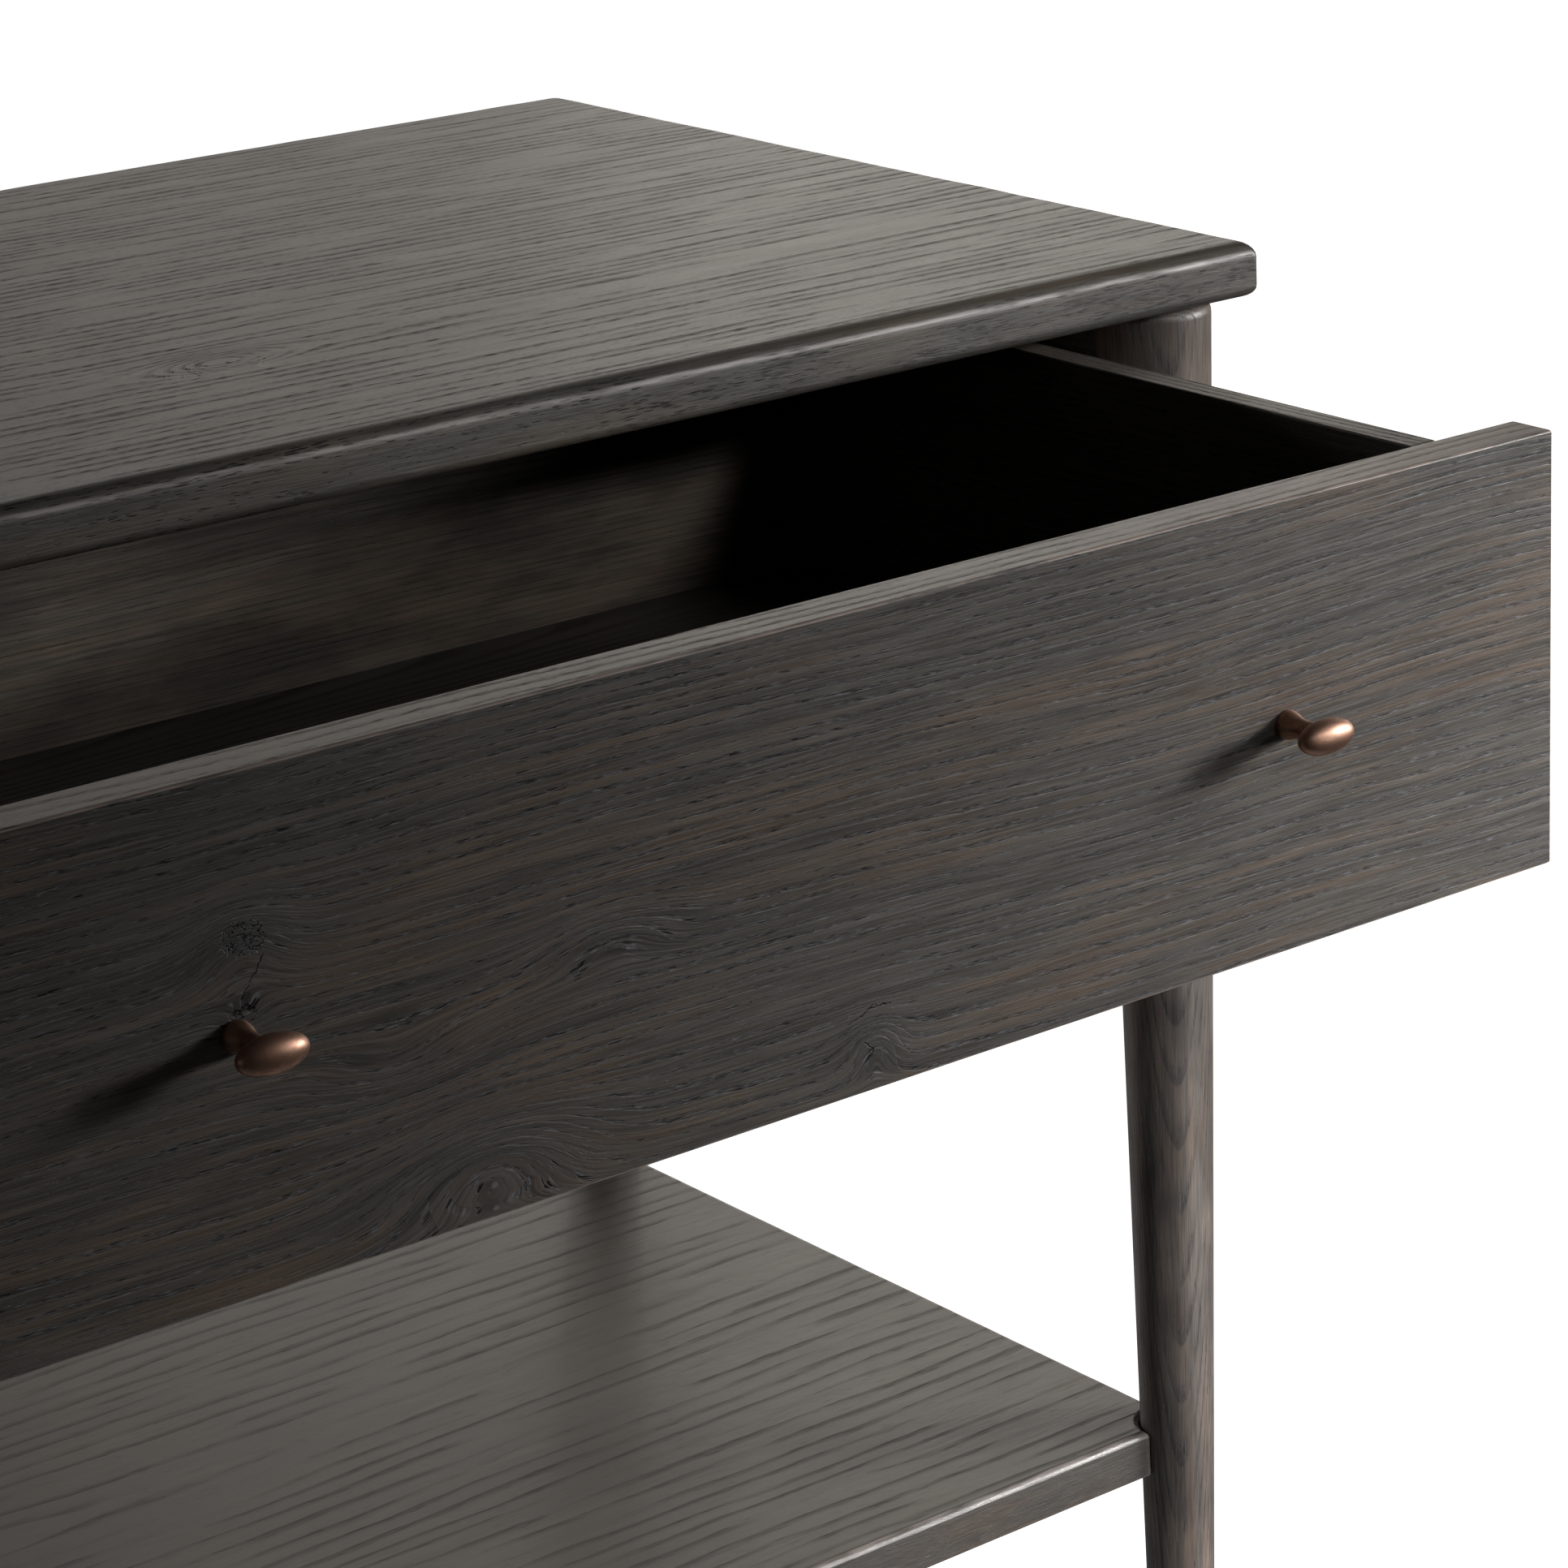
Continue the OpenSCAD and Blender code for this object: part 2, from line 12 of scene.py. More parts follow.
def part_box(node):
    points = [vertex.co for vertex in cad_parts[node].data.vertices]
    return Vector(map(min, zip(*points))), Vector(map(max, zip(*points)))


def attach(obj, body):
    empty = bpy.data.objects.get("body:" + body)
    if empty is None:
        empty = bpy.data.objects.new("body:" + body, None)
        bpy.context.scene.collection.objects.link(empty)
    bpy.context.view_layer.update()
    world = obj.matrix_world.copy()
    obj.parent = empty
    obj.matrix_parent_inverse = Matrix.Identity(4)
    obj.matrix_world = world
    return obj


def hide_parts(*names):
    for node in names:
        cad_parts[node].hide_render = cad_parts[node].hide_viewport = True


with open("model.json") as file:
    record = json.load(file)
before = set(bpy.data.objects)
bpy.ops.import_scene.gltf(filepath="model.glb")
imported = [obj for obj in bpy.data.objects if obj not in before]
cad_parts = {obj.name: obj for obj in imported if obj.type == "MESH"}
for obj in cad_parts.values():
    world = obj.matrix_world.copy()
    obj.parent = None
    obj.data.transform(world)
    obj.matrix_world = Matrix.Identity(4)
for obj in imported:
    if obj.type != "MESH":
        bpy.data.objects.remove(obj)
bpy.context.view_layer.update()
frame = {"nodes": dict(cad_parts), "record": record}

MM = 0.001

# Camera: it stands in front of the table's left end, turned right and tipped down; angles in degrees
CAMERA_AT = (-0.8270, -1.4327, 1.1434)
CAMERA_TURN = 40.197
CAMERA_TIP = 18.428
CAMERA_ROLL = -1.593
CAMERA_LENS = 110.8
CAMERA_SHIFT = -0.1926

# Roundings, and the sizes of the legs and knobs, in metres
ARRIS = 1.0 * MM
TOP_UPPER_R = 6.0 * MM
TOP_LOWER_R = 4.0 * MM
TOP_CORNER_R = 3.0 * MM
SHELF_UPPER_R = 3.0 * MM
SIDE_LOWER_R = 0.6 * MM
SIDE_UPPER_R = 0.8 * MM
SIDE_CORNER_R = 0.4 * MM
NOTCH_PLAY = 0.3 * MM  # between the shelf and a leg
LEG_FOOT_R = 10.75 * MM
LEG_FOOT_ARRIS = 0.4 * MM
LEG_SHOULDER_R = 6.0 * MM
KNOB_HEAD_R = 5.0 * MM
KNOB_FOOT_R = 5.0 * MM
KNOB_FOOT_ARRIS = 0.35 * MM
KNOB_WAIST_R = 3.3 * MM
KNOB_FLARE_FROM = 0.9 * MM
KNOB_FLARE_LENGTH = 7.2 * MM
KNOB_NECK_BLEND = 1.6 * MM
ROW = 8.0 * MM  # about how far apart the points of a long edge are


# ---------------------------------------------------------------- meshes

def make_object(name, bm):
    """An object with bm's mesh, shaded smooth, in the scene."""
    bmesh.ops.recalc_face_normals(bm, faces=bm.faces)
    mesh = bpy.data.meshes.new(name)
    bm.to_mesh(mesh)
    bm.free()
    mesh.shade_smooth()
    made = bpy.data.objects.new(name, mesh)
    bpy.context.scene.collection.objects.link(made)
    return made


def weigh_normals(piece):
    """Keeps large flat faces flat next to their rounded edges."""
    weighted = piece.modifiers.new("normals", "WEIGHTED_NORMAL")
    weighted.weight = 90
    return piece


def loft(name, loops):
    """A closed mesh through loops of equally many points, with both ends capped."""
    bm = bmesh.new()
    rings = [[bm.verts.new(point) for point in loop] for loop in loops]
    count = len(rings[0])
    for lower, upper in zip(rings, rings[1:]):
        for i in range(count):
            j = (i + 1) % count
            bm.faces.new((lower[i], lower[j], upper[j], upper[i]))
    bm.faces.new(list(reversed(rings[0])))
    bm.faces.new(rings[-1])
    return make_object(name, bm)


def spread(start, end, count):
    """count evenly spaced values from start up to, but not including, end."""
    return [start + (end - start) * i / count for i in range(count)]


def steps(start, end, size):
    """Evenly spaced values about size apart, from start up to, but not including, end."""
    return spread(start, end, max(1, round(abs(end - start) / size)))


def on_circle(middle, radius, angle):
    """A point of a circle in the plane."""
    return middle + radius * Vector((math.cos(angle), math.sin(angle)))


def rectangle(half_x, half_y, inset, radius):
    """Points round a rectangle with rounded corners, anticlockwise from its right side, moved in by inset."""
    points = []
    for turn in range(4):
        half = (half_x, half_y) if turn % 2 == 0 else (half_y, half_x)
        spin = Matrix.Rotation(turn * math.pi / 2, 2)
        out = half[0] - inset
        reach = half[1] - inset - radius
        side = [Vector((out, v)) for v in spread(-reach, reach, max(1, round(half[1] * 2 / ROW)))]
        middle = Vector((out - radius, reach))
        arc = [on_circle(middle, radius, a) for a in spread(0, math.pi / 2, 5)]
        points += [spin @ p for p in side + arc]
    return points


def edge_rows(height, lower_r, upper_r):
    """(inset, height) pairs up a board's edge: lower arris, flat, upper arris."""
    arc_steps = 6
    angles = [math.pi / 2 * i / arc_steps for i in range(arc_steps + 1)]
    rows = [(lower_r * (1 - math.sin(a)), lower_r * (1 - math.cos(a))) for a in angles]
    rows += [(0.0, z) for z in steps(lower_r, height - upper_r, ROW)[1:]]
    for a in angles:
        rows.append((upper_r * (1 - math.cos(a)), height - upper_r * (1 - math.sin(a))))
    return rows


def board(name, node, lower_r, upper_r, corner_r, outline=rectangle):
    """An upright loft of outline between a CAD node's corners, with arrises a little uneven, as by hand."""
    unevenness = 0.3
    unevenness_per_metre = 55
    low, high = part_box(node)
    middle = (low + high) / 2
    half = (high - low) / 2
    loops = []
    for inset, z in edge_rows(high.z - low.z, lower_r, upper_r):
        plain = outline(half.x, half.y, inset, corner_r)
        inner = outline(half.x, half.y, inset * (1 + unevenness), corner_r)
        loop = []
        for p, q in zip(plain, inner):
            share = 0.5 + 0.5 * noise.noise(Vector((p.x, p.y, z)) * unevenness_per_metre)
            at = p.lerp(q, share)
            loop.append(Vector((middle.x + at.x, middle.y + at.y, low.z + z)))
        loops.append(loop)
    return weigh_normals(loft(name, loops))


def shelf_outline(leg_at, notch_r):
    """Outline function of the shelf: a rectangle with a round notch at each leg."""
    def outline(half_x, half_y, inset, _corner_r):
        out_x = half_x - inset
        out_y = half_y - inset
        radius = notch_r + inset
        from_angle = -math.acos((out_x - leg_at.x) / radius)
        to_angle = -math.pi - math.asin((out_y - leg_at.y) / radius)
        quarter = [on_circle(leg_at, radius, a) for a in spread(from_angle, to_angle, 14) + [to_angle]]
        first = quarter[0]
        last = quarter[-1]
        right = [Vector((out_x, y)) for y in spread(-first.y, first.y, round(half_y * 2 / ROW))[1:]]
        back = [Vector((x, out_y)) for x in spread(last.x, -last.x, round(half_x * 2 / ROW))[1:]]
        half_round = right + quarter + back + [Vector((-p.x, p.y)) for p in reversed(quarter)]
        return half_round + [Vector((-p.x, -p.y)) for p in half_round]
    return outline


def turned_leg(name, node):
    """A straight taper turned on a lathe, with a rounded shoulder under the top."""
    low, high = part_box(node)
    middle = (low + high) / 2
    shoulder_z = high.z - LEG_SHOULDER_R
    top_r = (high.x - low.x) / 2
    taper = (top_r - LEG_FOOT_R) / shoulder_z
    rows = [(LEG_FOOT_R + taper * low.z - LEG_FOOT_ARRIS, low.z)]
    rows += [(LEG_FOOT_R + taper * z, z) for z in steps(low.z + LEG_FOOT_ARRIS, shoulder_z, ROW)]
    for i in range(9):
        a = math.pi / 2 * i / 8
        inset = LEG_SHOULDER_R * (1 - math.cos(a))
        rows.append((top_r - inset, shoulder_z + LEG_SHOULDER_R * math.sin(a)))
    sides = 96
    loops = []
    for radius, z in rows:
        circle = [on_circle(middle.xy, radius, 2 * math.pi * i / sides) for i in range(sides)]
        loops.append([Vector((point.x, point.y, z)) for point in circle])
    return weigh_normals(loft(name, loops))


def soft_max(a, b, width):
    """The larger of two lengths, rounded over where they meet."""
    share = max(width - abs(a - b), 0) / width
    return max(a, b) + width * share * share / 4


def knob_rings(half_x, half_z, reach):
    """(half width, half height, distance from the drawer) of each ring from the foot to the tip."""
    rings = []
    for i in range(5):
        a = math.pi / 2 * i / 4
        radius = KNOB_FOOT_R - KNOB_FOOT_ARRIS * (1 - math.sin(a))
        rings.append((radius, radius, KNOB_FOOT_ARRIS * (1 - math.cos(a))))
    for i in range(1, 13):
        t = i / 12
        radius = KNOB_FOOT_R + (KNOB_WAIST_R - KNOB_FOOT_R) * t * t * (3 - 2 * t)
        rings.append((radius, radius, KNOB_FLARE_FROM + KNOB_FLARE_LENGTH * t))
    centre = reach - KNOB_HEAD_R
    waist_from = rings[-1][2]
    for distance in steps(waist_from, centre - KNOB_HEAD_R, 0.8 * MM)[1:]:
        rings.append((KNOB_WAIST_R, KNOB_WAIST_R, distance))
    for i in range(40):
        a = math.pi * i / 40
        width = half_x * math.sin(a)
        height = half_z * math.sin(a)
        if a < math.pi / 2:
            width = min(soft_max(KNOB_WAIST_R, width, KNOB_NECK_BLEND), half_x)
            height = min(soft_max(KNOB_WAIST_R, height, KNOB_NECK_BLEND), half_z)
        rings.append((width, height, centre - KNOB_HEAD_R * math.cos(a)))
    rings.append((half_x * 0.03, half_z * 0.03, reach - 0.02 * MM))
    return rings


def cast_knob(name, node):
    """A flared foot, a waist and an oval head in one cast surface, along -Y."""
    low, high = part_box(node)
    middle = (low + high) / 2
    half = (high - low) / 2
    sides = 64
    loops = []
    for width, height, distance in knob_rings(half.x, half.z, high.y - low.y):
        loop = []
        for i in range(sides):
            a = 2 * math.pi * i / sides
            loop.append(Vector((middle.x + width * math.cos(a), high.y - distance,
                                middle.z + height * math.sin(a))))
        loops.append(loop)
    return loft(name, loops)


# ---------------------------------------------------------------- node helpers

class Graph:
    """Short calls that add shader nodes; most return the new node's output socket."""

    def __init__(self, material):
        material.use_nodes = True
        self.tree = material.node_tree
        self.tree.nodes.clear()
        self.output = self.node("OutputMaterial")

    def node(self, kind, inputs=None, **settings):
        made = self.tree.nodes.new("ShaderNode" + kind)
        for name, value in settings.items():
            setattr(made, name, value)
        for key, value in (inputs or {}).items():
            self.put(made.inputs[key], value)
        return made

    def put(self, socket, value):
        if isinstance(value, bpy.types.NodeSocket):
            self.tree.links.new(value, socket)
        else:
            socket.default_value = value

    def math(self, operation, *values, clamp=False):
        inputs = dict(enumerate(values))
        return self.node("Math", inputs, operation=operation, use_clamp=clamp).outputs[0]

    def vector(self, operation, *values):
        return self.node("VectorMath", dict(enumerate(values)), operation=operation).outputs[0]

    def ramp(self, value, low, high, to_low=0.0, to_high=1.0):
        inputs = {"Value": value, "From Min": low, "From Max": high, "To Min": to_low, "To Max": to_high}
        return self.node("MapRange", inputs, interpolation_type="SMOOTHSTEP").outputs[0]

    def mix(self, share, a, b):
        """Colour a where share is 0, colour b where it is 1."""
        made = self.node("Mix", data_type="RGBA", clamp_factor=True)
        for index, value in ((0, share), (6, a), (7, b)):
            self.put(made.inputs[index], value)
        return made.outputs[2]

    def noise(self, place, detail=2.0, roughness=0.5):
        inputs = {"Vector": place, "Scale": 1.0, "Detail": detail, "Roughness": roughness}
        return self.node("TexNoise", inputs).outputs["Fac"]

    def scaled(self, place, sizes):
        """place divided by a feature's size in mm along, across and into the board."""
        return self.vector("MULTIPLY", place, tuple(1 / s for s in sizes))

    def combine(self, x, y, z):
        return self.node("CombineXYZ", {0: x, 1: y, 2: z}).outputs[0]

    def bump(self, height, distance):
        return self.node("Bump", {"Height": height, "Distance": distance}).outputs[0]

    def finish(self, **inputs):
        shader = self.node("BsdfPrincipled", {k.replace("_", " "): v for k, v in inputs.items()})
        self.put(self.output.inputs["Surface"], shader.outputs[0])


def opaque(colour, factors=(1.0, 1.0, 1.0)):
    """A colour for a socket: red, green and blue times factors, and an alpha of 1."""
    return tuple(c * f for c, f in zip(colour, factors)) + (1.0,)


def world_mm(g):
    """Where a point of the piece is at rest, in mm."""
    place = g.vector("SCALE", g.node("TexCoord").outputs["Object"])
    place.node.inputs["Scale"].default_value = 1000
    return place


# ---------------------------------------------------------------- oak

AXES = {"x": 0, "y": 1, "z": 2}


def board_place(g, grain, face, offset):
    """A place on the board in mm, along the grain, across it and into the face, and the same plus offset."""
    split = g.node("SeparateXYZ", {0: world_mm(g)}).outputs
    across = ({"x", "y", "z"} - {grain, face}).pop()
    here = g.combine(split[AXES[grain]], split[AXES[across]], split[AXES[face]])
    return here, g.vector("ADD", here, offset)


def wave(g, place, sizes, amount, detail=1.0):
    """A smooth drift of up to about half of amount to either side."""
    return g.math("MULTIPLY", g.math("SUBTRACT", g.noise(g.scaled(place, sizes), detail), 0.5), amount)


def knot_push(g, place, knots):
    """How far the knots push the rings outwards, in mm, and how close the nearest one is, from 0 to 1."""
    push = 0.0
    near = 0.0
    for x, y, along, across, amount in knots:
        local = g.vector("MULTIPLY", g.vector("SUBTRACT", place, (x, y, 0)), (1 / along, 1 / across, 0))
        distance = g.node("VectorMath", {0: local}, operation="LENGTH").outputs["Value"]
        here = g.math("EXPONENT", g.math("MULTIPLY", distance, g.math("MULTIPLY", distance, -1.0)))
        push = g.math("MULTIPLY_ADD", here, amount, push)
        near = g.math("MAXIMUM", here, near)
    return push, near


def crack_depth(g, place, cracks, crazed):
    """How open the face is here, from 0 to 1, in ragged cracks and crazed patches."""
    ragged = place
    for size, reach in ((5.0, 3.0), (1.2, 1.2)):
        where = g.scaled(place, (size, size, size))
        shake = g.node("TexNoise", {"Vector": where, "Scale": 1.0, "Detail": 2.0}).outputs["Color"]
        shift = g.vector("SUBTRACT", shake, (0.5, 0.5, 0.5))
        ragged = g.vector("ADD", ragged, g.vector("MULTIPLY", shift, (reach, reach, 0)))
    depth = 0.0
    for width, *points in cracks:
        for (ax, ay), (bx, by) in zip(points, points[1:]):
            step = (bx - ax, by - ay, 0)
            from_a = g.vector("MULTIPLY", g.vector("SUBTRACT", ragged, (ax, ay, 0)), (1, 1, 0))
            dot = g.node("VectorMath", {0: from_a, 1: step}, operation="DOT_PRODUCT").outputs["Value"]
            share = g.math("DIVIDE", dot, step[0] ** 2 + step[1] ** 2, clamp=True)
            on_step = g.vector("MULTIPLY", g.combine(share, share, 0.0), step)
            apart = g.node("VectorMath", {0: from_a, 1: on_step}, operation="DISTANCE").outputs["Value"]
            depth = g.math("MAXIMUM", g.ramp(apart, width * 0.2, width * 0.6, 1.0, 0.0), depth)
    fold = g.noise(g.scaled(ragged, (3.2, 1.9, 1.9)), 2.0, 0.6)
    lines = g.ramp(g.math("ABSOLUTE", g.math("SUBTRACT", fold, 0.5)), 0.012, 0.05, 1.0, 0.0)
    for x, y, along, across in crazed:
        local = g.vector("MULTIPLY", g.vector("SUBTRACT", ragged, (x, y, 0)), (1 / along, 1 / across, 0))
        distance = g.node("VectorMath", {0: local}, operation="LENGTH").outputs["Value"]
        depth = g.math("MAXIMUM", g.math("MULTIPLY", lines, g.ramp(distance, 0.7, 1.0, 1.0, 0.0)), depth)
    return depth


def edge_wear_and_highlight(g, place, look):
    """Where a rounded edge is rubbed light, partly real wear and partly a painted highlight, and where a face
    that looks up gets a painted highlight, from 0 to 1.
    """
    normal = g.node("TexCoord").outputs["Normal"]
    up = g.node("SeparateXYZ", {0: normal}).outputs[2]
    sizes = g.node("SeparateXYZ", {0: g.vector("ABSOLUTE", normal)}).outputs
    flattest = g.math("MAXIMUM", g.math("MAXIMUM", sizes[0], sizes[1]), sizes[2])
    turned = g.math("SUBTRACT", 1.0, flattest)
    wear = g.ramp(turned, 0.01, 0.05)
    # Narrowed to a painted highlight line at the foot of a wide upper roundover, on its upper side
    if look.foot_only:
        wear = g.math("MULTIPLY", wear, g.ramp(turned, 0.08, 0.18, 1.0, 0.0))
        wear = g.math("MULTIPLY", wear, g.ramp(up, 0.5, 0.7, 1.0, 0.0))
        wear = g.math("MULTIPLY", wear, g.ramp(up, 0.0, 0.05))
    patchy = g.ramp(g.noise(g.scaled(place, (22, 3, 3)), 2.0), 0.35, 0.6, 0.25, 1.0)
    return g.math("MAXIMUM", g.math("MULTIPLY", wear, patchy), g.ramp(up, 0.9, 1.0, 0.0, look.worn_top))


# How a board looks unless its own call says otherwise; lengths are in mm
OAK = {
    "tilt": 0.03,  # how fast the pith leaves the face along the board
    "ring": 2.4,  # width of a year's ring
    "wander": 8.0,  # reach of the grain's long waves
    "ripple": 1.6,  # reach of its short waves
    "line": 0.6,  # share of a ring over which the early wood fades out
    "late": (0.070, 0.063, 0.055),
    "early": (0.034, 0.035, 0.037),
    "pore": (0.006, 0.006, 0.007),
    "tint": (1.12, 1.0, 0.90),  # the warm streaks' colour, as factors of the late wood's
    "early_share": 0.6,  # how fully the early wood takes its dark colour
    "calm": 0.3,  # how much early wood is left in calm patches
    "contrast": 0.3,  # of the fibres and streaks
    "clouds": 0.0,  # contrast of the stain's clouds
    "flecks": 0.5,  # strength of the painted glints on the pores' lips
    "pore_size": (6.0, 0.36),  # length and width
    "pore_share": 0.9,  # how dark and deep the pores are
    "plain_end": None,  # from where to where along the board the pores fade to half
    "roughness": 0.42,
    "relief": 0.16,
    "knots": (),  # each (along, across, length, width, push), with the rings pushed out by push
    "cracks": (),  # each (width, point, point, ...)
    "crazed": (),  # each (along, across, length, width)
    "wear": None,  # colour of rubbed edges, partly real wear and partly a painted highlight
    "worn_top": 0.0,  # how fully the faces that look up take that colour, as a painted highlight
    "foot_only": False,  # True paints it only at the foot of a wide upper roundover, as a painted highlight line
}


def growth_rings(g, here, place, pith, look):
    """Age of the wood within its year, from 0 to 1, how far the grain is bent across, and nearness to a knot.

    The pith runs pith[0] mm across the board and pith[1] mm behind its face.
    """
    long_wave = wave(g, place, (300, 85, 120), look.wander)
    drift = g.math("ADD", long_wave, wave(g, place, (60, 14, 40), look.ripple, 2.0))
    push, near_knot = knot_push(g, here, look.knots)
    split = g.node("SeparateXYZ", {0: here}).outputs
    across = g.math("ADD", g.math("SUBTRACT", split[1], pith[0]), drift)
    to_pith = g.math("MULTIPLY_ADD", split[0], look.tilt, pith[1])
    depth = g.math("ADD", to_pith, g.math("ADD", split[2], long_wave))
    radius = g.math("SQRT", g.math("MULTIPLY_ADD", across, across, g.math("MULTIPLY", depth, depth)))
    radius = g.math("ADD", radius, push)
    good_and_lean = wave(g, g.combine(g.math("DIVIDE", radius, look.ring * 3.1), 0.0, 0.0), (1, 1, 1), 0.9)
    age = g.math("FRACT", g.math("ADD", g.math("DIVIDE", radius, look.ring), good_and_lean))
    return age, g.math("MULTIPLY_ADD", push, 0.9, drift), near_knot


def open_pores(g, here, bent, early_wood, look):
    """Short open dashes along the grain, crowded in the early wood, from 0 to 1."""
    length, width = look.pore_size
    cells = g.node("TexVoronoi", {"Vector": g.scaled(bent, (length, width, width)), "Scale": 1.0,
                                  "Randomness": 1.0})
    size = g.ramp(early_wood, 0.0, 0.6, 0.17, 0.44)
    pores = g.ramp(g.math("SUBTRACT", size, cells.outputs["Distance"]), -0.03, 0.05)
    deep = g.ramp(g.noise(g.scaled(bent, (9, 1.1, 1.1)), 1.0), 0.40, 0.62, 0.15, 1.0)
    pores = g.math("MULTIPLY", g.math("MULTIPLY", pores, deep), look.pore_share)
    if look.plain_end:
        along = g.node("SeparateXYZ", {0: here}).outputs[0]
        pores = g.math("MULTIPLY", pores, g.ramp(along, look.plain_end[0], look.plain_end[1], 1.0, 0.5))
    return pores


def oak(name, grain, face, offset, pith, **changes):
    """Brushed oak: rings round a pith, pore dashes in the early wood, fibres and stain clouds, painted glints
    on the pores' lips, and light edges that are partly wear and partly painted highlight.
    """
    look = SimpleNamespace(**(OAK | changes))
    material = bpy.data.materials.new(name)
    g = Graph(material)
    here, place = board_place(g, grain, face, offset)

    age, bend, near_knot = growth_rings(g, here, place, pith, look)
    early_wood = g.math("MULTIPLY", g.ramp(age, 0.10, look.line, 1.0, 0.0), g.ramp(age, 0.0, 0.08))
    patch = g.noise(g.scaled(place, (70, 9, 9)), 2.0)
    early_wood = g.math("MULTIPLY", early_wood, g.ramp(patch, 0.36, 0.60, look.calm, 1.0))

    bent = g.vector("ADD", place, g.combine(0.0, bend, 0.0))
    pores = open_pores(g, here, bent, early_wood, look)
    # Painted highlight: light bluish glints on one lip of the early wood's pores
    painted_pore_glint = g.ramp(g.noise(g.scaled(bent, (4.5, 0.33, 0.33)), 1.0), 0.56, 0.66)
    painted_pore_glint = g.math("MULTIPLY", g.math("MULTIPLY", painted_pore_glint, g.ramp(early_wood, 0.1, 0.6)), look.flecks)
    fibre = g.noise(g.scaled(bent, (34, 0.42, 0.42)), 3.0, 0.7)
    streak = g.noise(g.scaled(bent, (110, 5, 5)), 3.0, 0.6)
    stain = g.noise(g.scaled(place, (130, 55, 55)), 3.0, 0.55)
    cloud = g.noise(g.scaled(place, (60, 24, 24)), 3.0, 0.6)

    warm_streak = g.ramp(g.math("ADD", streak, stain), 0.9, 1.2)
    tone = g.mix(warm_streak, opaque(look.late), opaque(look.late, look.tint))
    dark = g.math("MULTIPLY", early_wood, look.early_share)
    dark = g.math("MAXIMUM", dark, g.math("MULTIPLY", near_knot, 0.55))
    tone = g.mix(dark, tone, opaque(look.early))
    shade = g.math("MULTIPLY_ADD", fibre, 0.6, g.math("MULTIPLY", streak, 0.4))
    shade = g.ramp(shade, 0.34, 0.66, 1 - look.contrast, 1 + look.contrast)
    shade = g.math("MULTIPLY", shade, g.ramp(cloud, 0.36, 0.64, 1 - look.clouds, 1 + look.clouds))
    tone = g.vector("MULTIPLY", tone, g.combine(shade, shade, shade))
    tone = g.mix(pores, tone, opaque(look.pore))
    # The painted pore glints, in a bright bluish tone
    tone = g.mix(painted_pore_glint, tone, opaque(look.late, (2.0, 2.3, 2.9)))

    rough = g.math("MULTIPLY_ADD", early_wood, 0.10, g.math("MULTIPLY", pores, 0.3))
    rough = g.math("ADD", rough, g.ramp(fibre, 0.3, 0.7, look.roughness - 0.06, look.roughness + 0.08))
    height = g.math("MULTIPLY_ADD", early_wood, -0.25, g.math("MULTIPLY", fibre, 0.45))
    height = g.math("SUBTRACT", height, pores)
    if look.cracks:
        open_crack = crack_depth(g, here, look.cracks, look.crazed)
        tone = g.mix(open_crack, tone, opaque(look.pore))
        rough = g.math("MAXIMUM", rough, open_crack)
        height = g.math("MULTIPLY_ADD", open_crack, -4.0, height)
    shine = g.ramp(fibre, 0.36, 0.64, 0.5 - 0.35 * look.contrast, 0.5 + 0.35 * look.contrast)
    shine = g.math("MULTIPLY", shine, g.math("MULTIPLY_ADD", pores, -0.85, 1.0))
    shine = g.math("MULTIPLY", shine, g.math("MULTIPLY_ADD", early_wood, -0.8 * look.early_share, 1.0))
    # Light rubbed edges: partly real wear, partly a painted highlight on the arrises; faces that look up can
    # take a painted highlight too
    if look.wear:
        rubbed = edge_wear_and_highlight(g, place, look)
        tone = g.mix(rubbed, tone, opaque(look.wear))
        rough = g.math("MULTIPLY_ADD", rubbed, -0.1, rough)
    g.finish(Base_Color=tone, Roughness=rough, IOR=1.5, Specular_IOR_Level=shine,
             Normal=g.bump(height, look.relief * MM))
    return material


# ---------------------------------------------------------------- metals, nylon and felt

def brushed_metal(name, colour, roughness, metallic=1.0, grain=(1.0, 1.0, 1.0), dirt=0.25):
    """Drawn or plated metal: a fine grain and faint clouds of oxide."""
    material = bpy.data.materials.new(name)
    g = Graph(material)
    place = world_mm(g)
    lines = g.noise(g.scaled(place, grain), 3.0, 0.6)
    cloud = g.noise(g.scaled(place, (9, 9, 9)), 4.0, 0.6)
    tone = g.mix(g.ramp(cloud, 0.35, 0.7), opaque(colour), opaque(colour, (1 - dirt, 1 - dirt, 1 - dirt)))
    rough = g.ramp(cloud, 0.3, 0.7, roughness - 0.04, roughness + 0.08)
    rough = g.math("ADD", rough, g.ramp(lines, 0.3, 0.7, -0.03, 0.03))
    g.finish(Base_Color=tone, Metallic=metallic, Roughness=rough, Normal=g.bump(lines, 0.02 * MM))
    return material


def bronze(name):
    """Antique bronze: a brown patina, rubbed bright where fingers hold it, with a fine cast grain."""
    material = bpy.data.materials.new(name)
    g = Graph(material)
    place = world_mm(g)
    cloud = g.noise(g.scaled(place, (3.5, 3.5, 3.5)), 4.0, 0.6)
    grain = g.noise(g.scaled(place, (0.35, 0.35, 0.35)), 3.0, 0.6)
    rubbed = opaque((0.46, 0.275, 0.195))
    brown = opaque((0.34, 0.190, 0.135))
    pitted = opaque((0.12, 0.055, 0.038))
    tone = g.mix(g.ramp(cloud, 0.3, 0.72), rubbed, brown)
    tone = g.mix(g.ramp(grain, 0.5, 0.72, 0.0, 0.35), tone, pitted)
    rough = g.math("ADD", g.ramp(cloud, 0.3, 0.7, 0.38, 0.48), g.ramp(grain, 0.3, 0.7, -0.03, 0.05))
    g.finish(Base_Color=tone, Metallic=1.0, Roughness=rough, Normal=g.bump(grain, 0.02 * MM))
    return material


